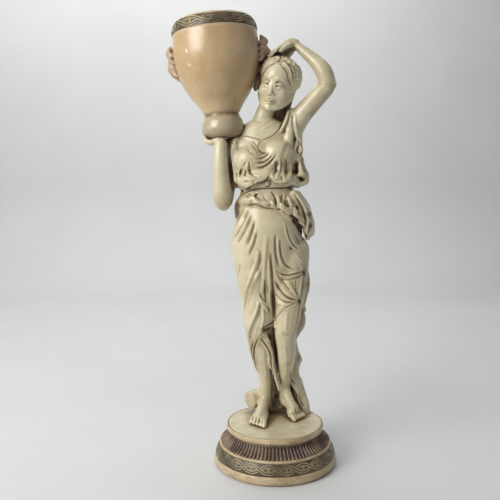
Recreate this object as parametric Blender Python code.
"""A garden statue: a draped woman who carries an open urn on her right shoulder, on a round plinth.

The statue is three castings. The plinth holds the figure's round ground in a recess, and the figure
holds the urn. Metres, +Z up. The figure faces -Y, and the origin is the middle of the underside.
"""

import math

import bmesh
import bpy
from mathutils import Matrix, Vector
from mathutils.bvhtree import BVHTree

# Plinth sizes
FOOT_RADIUS = 0.1255
FOOT_HEIGHT = 0.0193
FOOT_STEP = 0.0035
BAND_HEIGHT = 0.0220
BAND_SET_IN = 0.0027
BAND_SLOPE = 0.0088
BEAD_RADIUS = 0.0016
COVE_HEIGHT = 0.0240
SLAB_RADIUS = 0.0998
SLAB_HEIGHT = 0.0120
SLAB_ROUNDING = 0.0028
SLAB_OVERHANG = 0.0058
KNOT_COUNT = 22
KNOT_HEIGHT = 0.0014
PLINTH_SIDES = 3 * KNOT_COUNT
REED_COUNT = PLINTH_SIDES
REED_DEPTH = 0.0016

# The ground that the figure stands on, and the recess that takes it
GROUND_SET_IN = 0.0036
GROUND_RADIUS = SLAB_RADIUS - GROUND_SET_IN
GROUND_THICKNESS = 0.0100
GROUND_EDGE = 0.0012
GROUND_SIDES = 96
SEAT_GAP = 0.0004

# The figure, which is drawn on a grid of 740 units from the ground to the crown of the head
FIGURE_HEIGHT = 0.740
UNIT = FIGURE_HEIGHT / 740.0
CLAY_VOXEL = 2.7 * UNIT
CLAY_ROUNDS = 3
FIGURE_TRIANGLES = 4600

# Urn sizes, along its own axis
URN_HEIGHT = 0.2320
URN_FOOT_RADIUS = 0.0430
URN_FOOT_HEIGHT = 0.0450
URN_NECK_RADIUS = 0.0345
URN_BODY_RADIUS = 0.0870
URN_RIM_RADIUS = 0.0850
URN_LIP_RADIUS = 0.0780
URN_BAND_HEIGHT = 0.0270
BAND_STEP = 0.0006
LIP_ROUNDING = 0.0016
URN_WALL = 0.0060
URN_FLOOR = 0.0140
URN_LEAN = math.radians(-4.5)
RIM_KNOT_COUNT = 12
RIM_KNOT_HEIGHT = 0.0014
URN_SIDES = 3 * RIM_KNOT_COUNT
MASK_WIDTH = 0.050
LEFT_MASK_HEIGHT = 0.056
LEFT_MASK_STANDOUT = 0.027
LEFT_MASK_LEVEL = 0.720
RIGHT_MASK_HEIGHT = 0.068
RIGHT_MASK_STANDOUT = 0.017
RIGHT_MASK_LEVEL = 0.665
MASK_VOXEL = 0.0024
MASK_LIGHTEN = 0.055
MASK_ROOT = 0.6


def place(x, y, z):
    """A point of the figure, in figure units from the middle of its ground."""
    return Vector((x, y, z)) * UNIT + Vector((0, 0, plinth_height()))


def plinth_height():
    return FOOT_HEIGHT + BAND_HEIGHT + COVE_HEIGHT + SLAB_HEIGHT + 3 * BEAD_RADIUS


def paint(name, colour, roughness):
    material = bpy.data.materials.new(name)
    material.use_nodes = True
    shader = material.node_tree.nodes["Principled BSDF"]
    shader.inputs["Base Color"].default_value = (*colour, 1.0)
    shader.inputs["Roughness"].default_value = roughness
    shader.inputs["Metallic"].default_value = 0.0
    return material


def add_object(name, bm, material):
    mesh = bpy.data.meshes.new(name)
    bm.to_mesh(mesh)
    bm.free()
    mesh.materials.append(material)
    obj = bpy.data.objects.new(name, mesh)
    bpy.context.collection.objects.link(obj)
    return obj


def skin_rings(bm, rings):
    """Closes a row of rings into one solid. A ring may have twice its neighbour's points."""
    loops = [[bm.verts.new(point) for point in ring] for ring in rings]
    for lower, upper in zip(loops, loops[1:]):
        few, many = (lower, upper) if len(lower) < len(upper) else (upper, lower)
        for i in range(len(few)):
            j = (i + 1) % len(few)
            if len(few) == len(many):
                bm.faces.new((lower[i], lower[j], upper[j], upper[i]))
                continue
            start, between, end = many[2 * i], many[2 * i + 1], many[(2 * i + 2) % len(many)]
            fan = [(few[i], between, start), (few[i], few[j], between), (few[j], end, between)]
            for corners in fan:
                bm.faces.new(corners if few is lower else tuple(reversed(corners)))
    bm.faces.new(list(reversed(loops[0])))
    bm.faces.new(loops[-1])


def blend_rows(rows, steps):
    """Rows of numbers, with a smooth curve of more rows put through them."""
    result = []
    for i in range(len(rows) - 1):
        before, start = rows[max(i - 1, 0)], rows[i]
        end, after = rows[i + 1], rows[min(i + 2, len(rows) - 1)]
        for step in range(steps):
            t = step / steps
            result.append(
                tuple(
                    b + 0.5 * t * (c - a + t * (2 * a - 5 * b + 4 * c - d + t * (3 * b - a - 3 * c + d)))
                    for a, b, c, d in zip(before, start, end, after)
                )
            )
    result.append(tuple(rows[-1]))
    return result


def column(bm, rows, sides=40, flutes=0, flute_depth=0.0):
    """A standing form. Each row is height, middle x and y, half width and half depth, in figure units."""
    rings = []
    for z, x, y, half_width, half_depth in blend_rows(rows, 3):
        ring = []
        for i in range(sides):
            angle = math.tau * i / sides
            swell = 1.0
            if flutes and math.sin(angle) > 0:
                swell += flute_depth * math.sin(angle) * math.cos(flutes * angle)
            across = half_width * swell * math.cos(angle)
            back = half_depth * swell * math.sin(angle)
            ring.append(place(x + across, y + back, z))
        rings.append(ring)
    if rings[0][0].z > rings[-1][0].z:
        rings.reverse()
    skin_rings(bm, rings)


def limb(bm, rows, sides=14, steps=3):
    """A round form along a path with rounded ends. Each row is x, y, z and radius, in figure units."""
    path = blend_rows(rows, steps)
    points = [place(*row[:3]) for row in path]
    radii = [row[3] * UNIT for row in path]
    across = Vector((1, 0, 0))
    rings = []
    for i, (point, radius) in enumerate(zip(points, radii)):
        along = (points[min(i + 1, len(points) - 1)] - points[max(i - 1, 0)]).normalized()
        side = across - along * across.dot(along)
        if side.length < 0.1:
            side = Vector((0, 1, 0)) - along * along.y
        across = side.normalized()
        other = along.cross(across)
        angles = [math.tau * k / sides for k in range(sides)]
        turn = [across * math.cos(angle) + other * math.sin(angle) for angle in angles]
        if i == 0:
            rings.append([point - along * radius * 0.85 + t * radius * 0.45 for t in turn])
        rings.append([point + t * radius for t in turn])
        if i == len(points) - 1:
            rings.append([point + along * radius * 0.85 + t * radius * 0.45 for t in turn])
    skin_rings(bm, rings)


def ball(bm, middle, radii, turn=None):
    """An egg of three radii. Its middle is a point of the figure, in metres."""
    matrix = Matrix.Translation(middle) @ (turn or Matrix.Identity(4))
    matrix = matrix @ Matrix.Diagonal((radii[0] * UNIT, radii[1] * UNIT, radii[2] * UNIT, 1.0))
    bmesh.ops.create_uvsphere(bm, u_segments=24, v_segments=14, radius=1.0, matrix=matrix)


def round_ring(z, radius, sides):
    """A level ring of points round the Z axis."""
    turns = [math.tau * i / sides for i in range(sides)]
    return [Vector((radius * math.cos(turn), radius * math.sin(turn), z)) for turn in turns]


# A running pattern of bosses with a slanting strand between each two, in six columns.
# The first row is the lower one.
KNOT_ROWS = ((1, 0, 1, 1, 0, 0), (0, 0, 1, 1, 0, 1))


def knot_rings(low, high, radius_at, count, height):
    """The rings of a patterned band, from its plain lower edge to its plain upper edge."""
    rings = []
    for row in range(4):
        z = low + (high - low) * (0.0, 0.28, 0.72, 1.0)[row]
        raised = KNOT_ROWS[row - 1] if row in (1, 2) else (0,) * 6
        ring = []
        for i in range(6 * count):
            radius = radius_at(z) + height * raised[i % 6]
            angle = math.tau * i / (6 * count)
            ring.append(Vector((radius * math.cos(angle), radius * math.sin(angle), z)))
        rings.append(ring)
    return rings


HEAD_TURN = (
    Matrix.Rotation(math.radians(15.5), 4, "Y")
    @ Matrix.Rotation(math.radians(-17), 4, "Z")
    @ Matrix.Rotation(math.radians(10), 4, "X")
)


def on_head(x, y, z):
    """A point of the head, in figure units from its middle, with the face to -Y."""
    return place(11, 16, 689) + (HEAD_TURN @ Vector((x, y, z))) * UNIT


def head_row(x, y, z, radius):
    point = (on_head(x, y, z) - Vector((0, 0, plinth_height()))) / UNIT
    return (*point, radius)


def build_head(bm):
    ball(bm, on_head(0, 6, 12), (40, 47, 45), HEAD_TURN)
    ball(bm, on_head(0, -12, -12), (32, 33, 43), HEAD_TURN)
    ball(bm, on_head(0, -28, -42), (13, 13, 12), HEAD_TURN)
    ball(bm, on_head(0, 44, 14), (22, 20, 21), HEAD_TURN)
    nose = [(0, -38, 8, 4), (0, -44, -4, 5), (0, -46, -14, 5.5), (0, -40, -20, 6)]
    limb(bm, [head_row(*row) for row in nose])
    for side in (-1, 1):
        limb(
            bm,
            [
                head_row(4 * side, -38, 40, 8),
                head_row(22 * side, -32, 34, 9),
                head_row(36 * side, -12, 14, 9),
                head_row(37 * side, 8, -4, 8),
                head_row(26 * side, 32, -6, 9),
            ],
        )
    limb(bm, [(-21, 34, 600, 25), (-19, 32, 622, 18), (-11, 28, 640, 17), (0, 26, 665, 18)])


def build_arms(bm):
    # The right arm is folded up under the foot of the urn
    limb(bm, [(-70, 36, 560, 26), (-84, 38, 530, 22), (-96, 36, 490, 20), (-101, 28, 460, 20)])
    forearm = [
        (-101, 28, 457, 19),
        (-101, 14, 478, 19),
        (-102, 6, 505, 16),
        (-103, 0, 540, 13),
        (-103, 2, 572, 12),
    ]
    limb(bm, forearm)
    limb(bm, [(-103, 3, 572, 11), (-110, 8, 577, 12), (-119, 18, 577, 11)])
    for finger in range(4):
        y = 2 + 9 * finger
        limb(bm, [(-112, y, 577, 5), (-126, y + 2, 577, 5), (-137, y + 5, 583, 4.5), (-143, y + 8, 592, 4)])
    # The left arm is raised, with the hand on the crown of the head
    upper_arm = [
        (38, 30, 600, 24),
        (56, 24, 621, 18.5),
        (73, 16, 641, 16.5),
        (92, 8, 661, 16.5),
        (104, 3, 685, 18),
    ]
    limb(bm, upper_arm)
    forearm = [
        (104, 3, 687, 18),
        (98, 4, 709, 16.5),
        (84, 12, 728, 14),
        (64, 20, 749, 11),
        (47, 26, 765, 8.5),
    ]
    limb(bm, forearm)
    limb(bm, [(48, 26, 767, 9), (37, 26, 768, 11), (24, 24, 763, 11)])
    for finger in range(4):
        y = 12 + 8 * finger
        limb(bm, [(26, y, 762, 5), (14, y - 1, 756, 4.6), (4, y - 2, 748, 4.2), (-3, y - 3, 741, 3.6)])


LEFT_LEG = [
    (33, 36, 360, 40),
    (31, 22, 290, 37),
    (26, 5, 222, 28),
    (22, -4, 186, 22),
    (25, 3, 152, 19.5),
    (25, 16, 122, 17.5),
    (23, 32, 84, 13.5),
    (22, 44, 54, 10.5),
    (21, 50, 34, 11),
]
RIGHT_LEG = [
    (-40, 32, 360, 42),
    (-36, 20, 280, 37),
    (-31, 10, 205, 26),
    (-28, 18, 168, 19),
    (-24, 26, 128, 17.5),
    (-19, 34, 90, 15),
    (-18, 42, 52, 12),
    (-18, 46, 34, 12.5),
]


def build_foot(bm, heel, toe, spread, little_back):
    """A bare foot from the heel to the middle toe. The toes fan out from the big one towards spread."""
    heel, toe = Vector(heel), Vector(toe)
    along = (toe - heel).normalized()
    across = Vector((-along.y, along.x)) * spread
    ankle = heel + along * 16
    instep = heel + along * 48
    ball_of_foot = heel + along * 80
    limb(bm, [(*heel, 13, 12.5), (*ankle, 26, 13), (*instep, 20, 12.5), (*ball_of_foot, 9, 10)])
    for side in (-1, 1):
        start = instep + across * side * 5
        end = ball_of_foot + across * side * 8
        limb(bm, [(*start, 11, 10), (*end, 7.5, 8)])
    for k in range(5):
        shift = across * (5.6 * (k - 2))
        back = along * (little_back * k / 4)
        root = ball_of_foot + shift - back * 0.6
        tip = toe + shift * 0.95 - back
        size = 4.6 if k == 0 else 3.6
        limb(bm, [(*root, 6.5, size), (*((root + tip) / 2), 6.5, size * 0.95), (*tip, 4, size)])


def build_gown(bm):
    # Bodice, which pouches over the belt
    column(
        bm,
        [
            (621, -18, 34, 24, 22),
            (606, -14, 34, 49, 28),
            (583, -12, 33, 66, 33),
            (568, -14, 32, 73, 37),
            (553, -13, 31, 74, 39),
            (525, -16, 29, 66, 41),
            (498, -20, 28, 60, 43),
            (487, -19, 29, 58, 42),
            (480, -17, 30, 52, 37),
        ],
        flutes=9,
        flute_depth=0.03,
    )
    # Belt and its button
    belt = [(496, -12, 30, 50, 37), (484, -12, 30, 54, 41), (474, -12, 30, 53, 40), (462, -11, 30, 53, 38)]
    column(bm, belt)
    ball(bm, place(-14, -9, 489), (8, 6, 8))
    # Skirt, and the fall of cloth behind the knees
    column(
        bm,
        [
            (470, -11, 30, 51, 37),
            (455, -9, 30, 57, 41),
            (425, -7, 30, 66, 47),
            (396, -8, 30, 74, 51),
            (348, -10, 31, 73, 50),
            (313, -5, 32, 72, 48),
            (282, -1, 35, 70, 44),
            (252, 1, 41, 64, 38),
            (230, 0, 48, 62, 32),
            (205, 2, 55, 60, 26),
            (180, 10, 60, 52, 22),
            (160, 18, 62, 34, 18),
        ],
        sides=64,
        flutes=13,
        flute_depth=0.06,
    )
    # Cloth round the right thigh and knee, with its long side fall
    column(
        bm,
        [
            (280, -34, 14, 36, 36),
            (232, -31, 12, 35, 34),
            (205, -31, 12, 33, 32),
            (186, -31, 15, 27, 28),
            (172, -33, 20, 20, 23),
        ],
    )
    limb(bm, [(-44, 22, 190, 13), (-42, 30, 155, 10), (-38, 38, 125, 7), (-35, 44, 98, 3)])
    # The tail of cloth between the legs
    limb(bm, [(-6, 14, 232, 14), (-8, 26, 190, 12), (2, 34, 150, 9), (9, 40, 105, 6), (13, 44, 60, 3)])
    # Bust
    for x, z in ((-46, 538), (9, 550)):
        ball(bm, place(x, 7, z), (31, 24, 28))
    # The bodice pouches over the belt
    limb(
        bm,
        [
            (-72, 22, 506, 11),
            (-66, 4, 499, 13),
            (-48, -8, 496, 14),
            (-28, -13, 502, 11),
            (-10, -14, 508, 9),
            (10, -11, 501, 12),
            (30, -2, 498, 13),
            (44, 14, 502, 12),
        ],
    )


def overskirt_edge(x):
    """Height of the overskirt's lower edge at a place across the front."""
    points = [(-75, 450), (-23, 446), (9, 441), (24, 430), (48, 408), (62, 380), (80, 368)]
    for (x0, z0), (x1, z1) in zip(points, points[1:]):
        if x <= x1:
            return z0 + (z1 - z0) * (x - x0) / (x1 - x0)
    return points[-1][1]


def build_overskirt(bm, sides=48):
    """The short skirt of the bodice below the belt. It falls to the left hip in a deep point."""
    rings = []
    for row in range(7):
        drop = row / 6
        ring = []
        for i in range(sides):
            angle = math.tau * i / sides
            across = math.cos(angle)
            front = -math.sin(angle)
            edge = overskirt_edge(-11 + 75 * across) if front > -0.2 else 418
            flare = 4 + 15 * drop * max(0.0, across) + 4 * drop + 5 * drop * max(0.0, -across - 0.3)
            ripple = 2.2 * drop * math.cos(11 * angle)
            z = 474 + (edge - 474) * drop
            hip = max(0.0, 474 - z)
            half_width = 52 + 0.17 * hip + flare + ripple
            half_depth = 38 + 0.15 * hip + flare * 0.6 + ripple
            middle = -11 + 0.04 * hip
            ring.append(place(middle + half_width * across, 30 - half_depth * front, z))
        rings.append(ring)
    rings.reverse()
    skin_rings(bm, rings)


def build_side_drapes(bm):
    # The open side of the bodice hangs from the raised shoulder and loops over the belt
    limb(
        bm,
        [
            (50, 30, 606, 12),
            (53, 36, 590, 12),
            (53, 38, 560, 12),
            (46, 38, 528, 13),
            (50, 36, 504, 17),
            (54, 34, 492, 15),
        ],
    )
    # The cloth of the skirt gathers at two knots beside the left knee
    limb(bm, [(62, 40, 312, 9), (66, 42, 280, 9), (61, 44, 250, 8), (56, 46, 226, 9)])
    limb(bm, [(55, 48, 225, 9), (57, 50, 205, 12), (56, 52, 188, 10), (46, 54, 172, 7)])


def build_trunk(bm):
    column(
        bm,
        [
            (-2, 20, 63, 46, 22),
            (10, 21, 64, 45, 22),
            (22, 22, 66, 43, 21),
            (40, 22, 68, 40, 20),
            (60, 22, 68, 35, 19),
            (82, 22, 68, 34, 18),
            (100, 24, 67, 34, 18),
            (112, 30, 66, 33, 18),
            (130, 25, 66, 31, 18),
            (160, 20, 64, 30, 20),
            (185, 16, 60, 30, 22),
        ],
        sides=24,
    )
    limb(bm, [(-50, 58, 28, 14), (-30, 64, 32, 15), (0, 70, 36, 16)], sides=12)


# Folds are drawn on the front elevation, as x and z, and are pressed onto the form behind them.
# Each has a radius at its start, middle and end.
BODICE_FOLDS = [
    ([(-68, 566), (-52, 548), (-36, 537), (-14, 535), (4, 542), (18, 556)], (3, 5, 3)),
    ([(-56, 556), (-40, 538), (-22, 528), (-2, 530), (14, 541), (26, 552)], (3, 5.4, 3)),
    ([(-62, 530), (-52, 516), (-36, 511), (-14, 517), (4, 528), (16, 541)], (3, 5.6, 4)),
    ([(-72, 560), (-73, 540), (-71, 520), (-67, 500)], (4, 6, 5)),
    ([(20, 552), (17, 530), (13, 512), (2, 503)], (4, 6, 5)),
    ([(33, 600), (38, 570), (35, 540), (32, 506)], (5, 7, 6)),
    ([(46, 612), (50, 580), (46, 548), (44, 512)], (4, 6, 5)),
    ([(14, 622), (22, 600), (27, 575)], (4, 5.5, 4)),
]
SKIRT_FOLDS = [
    ([(-12, 400), (-14, 360), (-16, 320), (-15, 280), (-12, 240), (-8, 215)], (5, 8, 6)),
    ([(-32, 390), (-33, 340), (-34, 290), (-40, 250), (-46, 225)], (3, 5, 4)),
    ([(-50, 420), (-64, 390), (-76, 362)], (3, 5, 4)),
    ([(-42, 412), (-56, 372), (-72, 336)], (3, 5, 4)),
    ([(-36, 380), (-48, 340), (-64, 300)], (3, 5, 4)),
    ([(-30, 330), (-42, 290), (-54, 256), (-60, 222)], (3, 4.5, 4)),
    ([(-24, 300), (-32, 250), (-44, 215), (-50, 185)], (3, 4.5, 4)),
    ([(2, 320), (4, 290), (16, 262), (36, 236), (54, 221)], (3, 5, 4)),
    ([(2, 276), (14, 252), (34, 233), (54, 221)], (3, 4.5, 4)),
    ([(2, 248), (14, 238), (34, 228), (54, 221)], (3, 4.5, 4)),
    ([(2, 226), (14, 218), (34, 222), (52, 222)], (3, 4, 4)),
    ([(2, 206), (12, 206), (30, 216), (50, 222)], (3, 4, 4)),
    ([(6, 330), (26, 312), (46, 311), (62, 316)], (3, 4.5, 4)),
    ([(0, 300), (22, 300), (44, 306), (62, 314)], (3, 4, 3)),
    ([(20, 420), (34, 380), (50, 345), (60, 322)], (2, 3.5, 3)),
    ([(8, 420), (20, 370), (36, 336), (56, 318)], (2, 3.5, 3)),
]
OVERSKIRT_FOLDS = [
    ([(-60, 466), (-48, 458), (-36, 462), (-28, 452)], (3, 5, 4)),
    ([(-36, 450), (-20, 446), (-4, 444), (8, 438)], (4, 5, 4)),
    ([(-6, 462), (6, 452), (12, 440)], (3, 4, 4)),
    ([(14, 466), (24, 444), (34, 426)], (3, 6, 5)),
    ([(30, 464), (44, 436), (58, 404), (66, 384)], (3, 6, 6)),
    ([(42, 458), (60, 428), (72, 398), (74, 378)], (3, 6, 6)),
]


def press_folds(bm, folds):
    """Lays each fold as a half-sunk ridge on the front of the clay that is already there."""
    surface = BVHTree.FromBMesh(bm)
    towards_back = Vector((0, 1, 0))
    for points, (start, middle, end) in folds:
        rows = []
        count = len(points)
        for i, (x, z) in enumerate(blend_rows(points, 4)):
            share = i / (4 * (count - 1))
            radius = start + (middle - start) * 2 * share
            if share > 0.5:
                radius = middle + (end - middle) * (2 * share - 1)
            hit, _, _, _ = surface.ray_cast(place(x, -200, z), towards_back)
            if hit is None:
                continue
            spot = (hit - Vector((0, 0, plinth_height()))) / UNIT
            rows.append((spot.x, spot.y + 0.35 * radius, spot.z, radius))
        limb(bm, rows, sides=8, steps=1)


def build_ground(bm):
    """The round ground, down to the floor of the recess in the plinth."""
    top = plinth_height()
    low = top - GROUND_THICKNESS
    profile = [(low, GROUND_RADIUS), (top - GROUND_EDGE, GROUND_RADIUS), (top, GROUND_RADIUS - GROUND_EDGE)]
    skin_rings(bm, [round_ring(z, r, GROUND_SIDES) for z, r in profile])


def build_figure():
    body = bmesh.new()
    build_gown(body)
    build_overskirt(body)
    limb(body, LEFT_LEG)
    limb(body, RIGHT_LEG)
    press_folds(body, BODICE_FOLDS + SKIRT_FOLDS + OVERSKIRT_FOLDS)
    build_head(body)
    build_arms(body)
    build_foot(body, (-15, 58), (-36, -32), -1, 16)
    build_foot(body, (13, 62), (47, -8), 1, 15)
    build_side_drapes(body)
    build_trunk(body)
    build_ground(body)
    figure = add_object("figure", body, paint("ivory paint", (0.70, 0.62, 0.45), 0.35))

    clay = figure.modifiers.new("clay", "REMESH")
    clay.mode = "VOXEL"
    clay.voxel_size = CLAY_VOXEL
    soften = figure.modifiers.new("soften", "SMOOTH")
    soften.factor = 0.5
    soften.iterations = CLAY_ROUNDS
    bpy.context.view_layer.update()
    shown = figure.evaluated_get(bpy.context.evaluated_depsgraph_get())
    count = sum(len(polygon.vertices) - 2 for polygon in shown.data.polygons)
    lighten = figure.modifiers.new("lighten", "DECIMATE")
    lighten.ratio = min(1.0, FIGURE_TRIANGLES / count)
    return figure


def rim_radius(z):
    """The outside of the urn's rim band, which leans in towards the lip."""
    share = (z - (URN_HEIGHT - URN_BAND_HEIGHT)) / (URN_BAND_HEIGHT - LIP_ROUNDING)
    return URN_RIM_RADIUS - (URN_RIM_RADIUS - URN_LIP_RADIUS) * max(0.0, share) ** 2


def urn_profile(offset=0.0):
    """The outer line of the urn, from the foot to the lip, as height and radius, moved out by offset."""
    foot, neck = URN_FOOT_HEIGHT, URN_FOOT_HEIGHT + 0.003
    band = URN_HEIGHT - URN_BAND_HEIGHT
    rise = band - neck
    swell = URN_BODY_RADIUS - URN_NECK_RADIUS
    body = [
        (neck + rise * share, URN_NECK_RADIUS + swell * width)
        for share, width in (
            (0.00, 0.00),
            (0.12, 0.22),
            (0.26, 0.52),
            (0.44, 0.80),
            (0.57, 0.94),
            (0.72, 1.00),
            (0.86, 0.99),
            (1.00, 0.95),
        )
    ]
    cushion = [
        (0.0, URN_FOOT_RADIUS * 0.74),
        (foot * 0.10, URN_FOOT_RADIUS * 0.87),
        (foot * 0.30, URN_FOOT_RADIUS * 0.98),
        (foot * 0.50, URN_FOOT_RADIUS),
        (foot * 0.74, URN_FOOT_RADIUS * 0.95),
        (foot * 0.93, URN_FOOT_RADIUS * 0.85),
    ]
    rim = [(band + BAND_STEP, URN_RIM_RADIUS)]
    rim += [(z, rim_radius(z)) for z in (band + URN_BAND_HEIGHT * 0.4, band + URN_BAND_HEIGHT * 0.75)]
    rim += [(URN_HEIGHT - LIP_ROUNDING, URN_LIP_RADIUS), (URN_HEIGHT, URN_LIP_RADIUS - LIP_ROUNDING)]
    line = cushion + blend_rows(body, 2) + rim
    line = [(z, r + offset) for z, r in line]
    line[0] = (line[0][0] - offset, line[0][1])
    line[-1] = (line[-1][0] + offset, line[-1][1])
    return line


def outer_radius(z):
    """The urn's outer radius at a height of its body."""
    line = urn_profile()
    for (z0, r0), (z1, r1) in zip(line, line[1:]):
        if z0 <= z <= z1:
            return r0 + (r1 - r0) * (z - z0) / (z1 - z0)
    return line[-1][1]


def inside_profile():
    """The inner line of the urn, from the lip down to its floor."""
    floor = URN_FOOT_HEIGHT + URN_FLOOR
    band = URN_HEIGHT - URN_BAND_HEIGHT
    mouth = URN_LIP_RADIUS - LIP_ROUNDING - URN_WALL
    line = [(URN_HEIGHT, mouth), (band, mouth + 0.5 * LIP_ROUNDING)]
    for share in (0.82, 0.6, 0.38, 0.18, 0.05):
        z = floor + (band - floor) * share
        line.append((z, outer_radius(z) - 1.15 * URN_WALL))
    line.append((floor, line[-1][1] - URN_WALL))
    return line


def urn_place():
    """Where the urn stands: the middle of its foot, leaning out from the head."""
    return Matrix.Translation(place(-99, 30, 582)) @ Matrix.Rotation(URN_LEAN, 4, "Y")


def mask_solid(side, gap=0.0):
    """A lion-like mask for one side of the urn, which grows out of the body, moved out by gap."""
    bm = bmesh.new()
    tall = LEFT_MASK_HEIGHT if side > 0 else RIGHT_MASK_HEIGHT
    deep = LEFT_MASK_STANDOUT if side > 0 else RIGHT_MASK_STANDOUT
    middle = URN_HEIGHT * (LEFT_MASK_LEVEL if side > 0 else RIGHT_MASK_LEVEL)
    reach = URN_BODY_RADIUS - 0.6 * URN_WALL
    parts = [
        ((reach, 0, middle), (deep * 0.60, MASK_WIDTH * 0.5, tall * 0.46)),
        ((reach + deep * 0.55, 0, middle - tall * 0.06), (deep * 0.60, MASK_WIDTH * 0.22, tall * 0.18)),
        ((reach + deep * 0.30, 0, middle + tall * 0.22), (deep * 0.60, MASK_WIDTH * 0.34, tall * 0.20)),
        ((reach + deep * 0.15, 0, middle - tall * 0.30), (deep * 0.60, MASK_WIDTH * 0.28, tall * 0.23)),
    ]
    for spot, radii in parts:
        grown = [radius + gap for radius in radii]
        matrix = Matrix.Translation((spot[0] * side, spot[1], spot[2])) @ Matrix.Diagonal((*grown, 1.0))
        bmesh.ops.create_uvsphere(bm, u_segments=16, v_segments=10, radius=1.0, matrix=matrix)
    name = ("right_mask" if side < 0 else "left_mask") + ("_room" if gap else "")
    mask = add_object(name, bm, paint(name, (0.5, 0.4, 0.3), 0.5))
    clay = mask.modifiers.new("clay", "REMESH")
    clay.mode = "VOXEL"
    clay.voxel_size = MASK_VOXEL
    lighten = mask.modifiers.new("lighten", "DECIMATE")
    lighten.ratio = MASK_LIGHTEN
    mask.matrix_world = urn_place()
    if not gap:
        join_solid(mask, turned_room(name + "_core", -MASK_ROOT * URN_WALL), "DIFFERENCE")
    return mask


def turned_room(name, offset):
    """A cutter of the urn's outer shape, moved out by offset."""
    bm = bmesh.new()
    skin_rings(bm, [round_ring(z, r, URN_SIDES) for z, r in urn_profile(offset)])
    room = add_object(name, bm, paint(name, (0.5, 0.4, 0.3), 0.5))
    room.matrix_world = urn_place()
    return room


def join_solid(base, other, kind):
    cut = base.modifiers.new(other.name, "BOOLEAN")
    cut.operation = kind
    cut.object = other
    cut.solver = "EXACT"
    other.hide_render = True
    other.display_type = "WIRE"


def build_urn():
    band = URN_HEIGHT - URN_BAND_HEIGHT + BAND_STEP
    lip = URN_HEIGHT - LIP_ROUNDING
    rings = [round_ring(z, r, URN_SIDES) for z, r in urn_profile() if z < band]
    rings += knot_rings(band, lip - LIP_ROUNDING, rim_radius, RIM_KNOT_COUNT, RIM_KNOT_HEIGHT)
    rings += [round_ring(z, r, URN_SIDES) for z, r in urn_profile() if z >= lip]
    rings += [round_ring(z, r, URN_SIDES) for z, r in inside_profile()]
    bm = bmesh.new()
    skin_rings(bm, rings)
    urn = add_object("urn", bm, paint("tan paint", (0.62, 0.49, 0.33), 0.3))
    urn.matrix_world = urn_place()
    for side in (-1, 1):
        join_solid(urn, mask_solid(side), "UNION")
    return urn


def seat_urn(figure):
    """Cuts the urn's outer shape, with its gap, out of the hand, shoulder, head and hair."""
    join_solid(figure, turned_room("urn_room", SEAT_GAP), "DIFFERENCE")
    join_solid(figure, mask_solid(1, 3 * SEAT_GAP), "DIFFERENCE")


def band_radius(z):
    """The outside of the plinth's patterned band, which swells like an ogee."""
    share = (z - FOOT_HEIGHT) / BAND_HEIGHT
    return FOOT_RADIUS - BAND_SET_IN - BAND_SLOPE * share**1.4


def reeded_ring(z, radius):
    """A ring of upright reeds, with a groove between each two."""
    sides = 2 * REED_COUNT
    ring = []
    for i in range(sides):
        reach = radius - REED_DEPTH * (i % 2)
        angle = math.tau * i / sides
        ring.append(Vector((reach * math.cos(angle), reach * math.sin(angle), z)))
    return ring


def build_plinth():
    top = plinth_height()
    band_top = FOOT_HEIGHT + BAND_HEIGHT
    bead = band_top + BEAD_RADIUS
    cove = bead + 2 * BEAD_RADIUS
    slab = cove + COVE_HEIGHT
    neck = band_radius(band_top)
    foot_line = [
        (0.0, FOOT_RADIUS - 0.7 * FOOT_STEP),
        (FOOT_HEIGHT * 0.3, FOOT_RADIUS),
        (FOOT_HEIGHT * 0.9, FOOT_RADIUS - 0.2 * FOOT_STEP),
        (FOOT_HEIGHT, FOOT_RADIUS - FOOT_STEP),
    ]
    bead_line = [(bead, neck + BEAD_RADIUS * 0.6), (bead + BEAD_RADIUS, neck - BEAD_RADIUS * 0.4)]
    slab_line = [
        (slab + 0.03 * SLAB_HEIGHT, SLAB_RADIUS - SLAB_ROUNDING),
        (slab + 0.22 * SLAB_HEIGHT, SLAB_RADIUS),
        (top - 0.15 * SLAB_HEIGHT, SLAB_RADIUS - 0.2 * SLAB_ROUNDING),
        (top, SLAB_RADIUS - 0.6 * GROUND_SET_IN),
        (top, GROUND_RADIUS + SEAT_GAP),
        (top - GROUND_THICKNESS - SEAT_GAP, GROUND_RADIUS + SEAT_GAP),
    ]
    rings = [round_ring(z, r, PLINTH_SIDES) for z, r in foot_line]
    rings += knot_rings(FOOT_HEIGHT + 0.03 * BAND_HEIGHT, band_top, band_radius, KNOT_COUNT, KNOT_HEIGHT)
    rings += [round_ring(z, r, PLINTH_SIDES) for z, r in bead_line]
    throat = SLAB_RADIUS - SLAB_OVERHANG
    sweep = neck - BEAD_RADIUS - throat
    for share in (0, 1 / 3, 2 / 3, 1):
        rings.append(reeded_ring(cove + COVE_HEIGHT * share, throat + sweep * (1 - share) ** 2.2))
    rings += [round_ring(z, r, PLINTH_SIDES) for z, r in slab_line]
    bm = bmesh.new()
    skin_rings(bm, rings)
    add_object("plinth", bm, paint("plinth paint", (0.40, 0.33, 0.22), 0.4))


def main():
    for old in list(bpy.data.objects):
        bpy.data.objects.remove(old)
    build_plinth()
    figure = build_figure()
    build_urn()
    seat_urn(figure)


main()
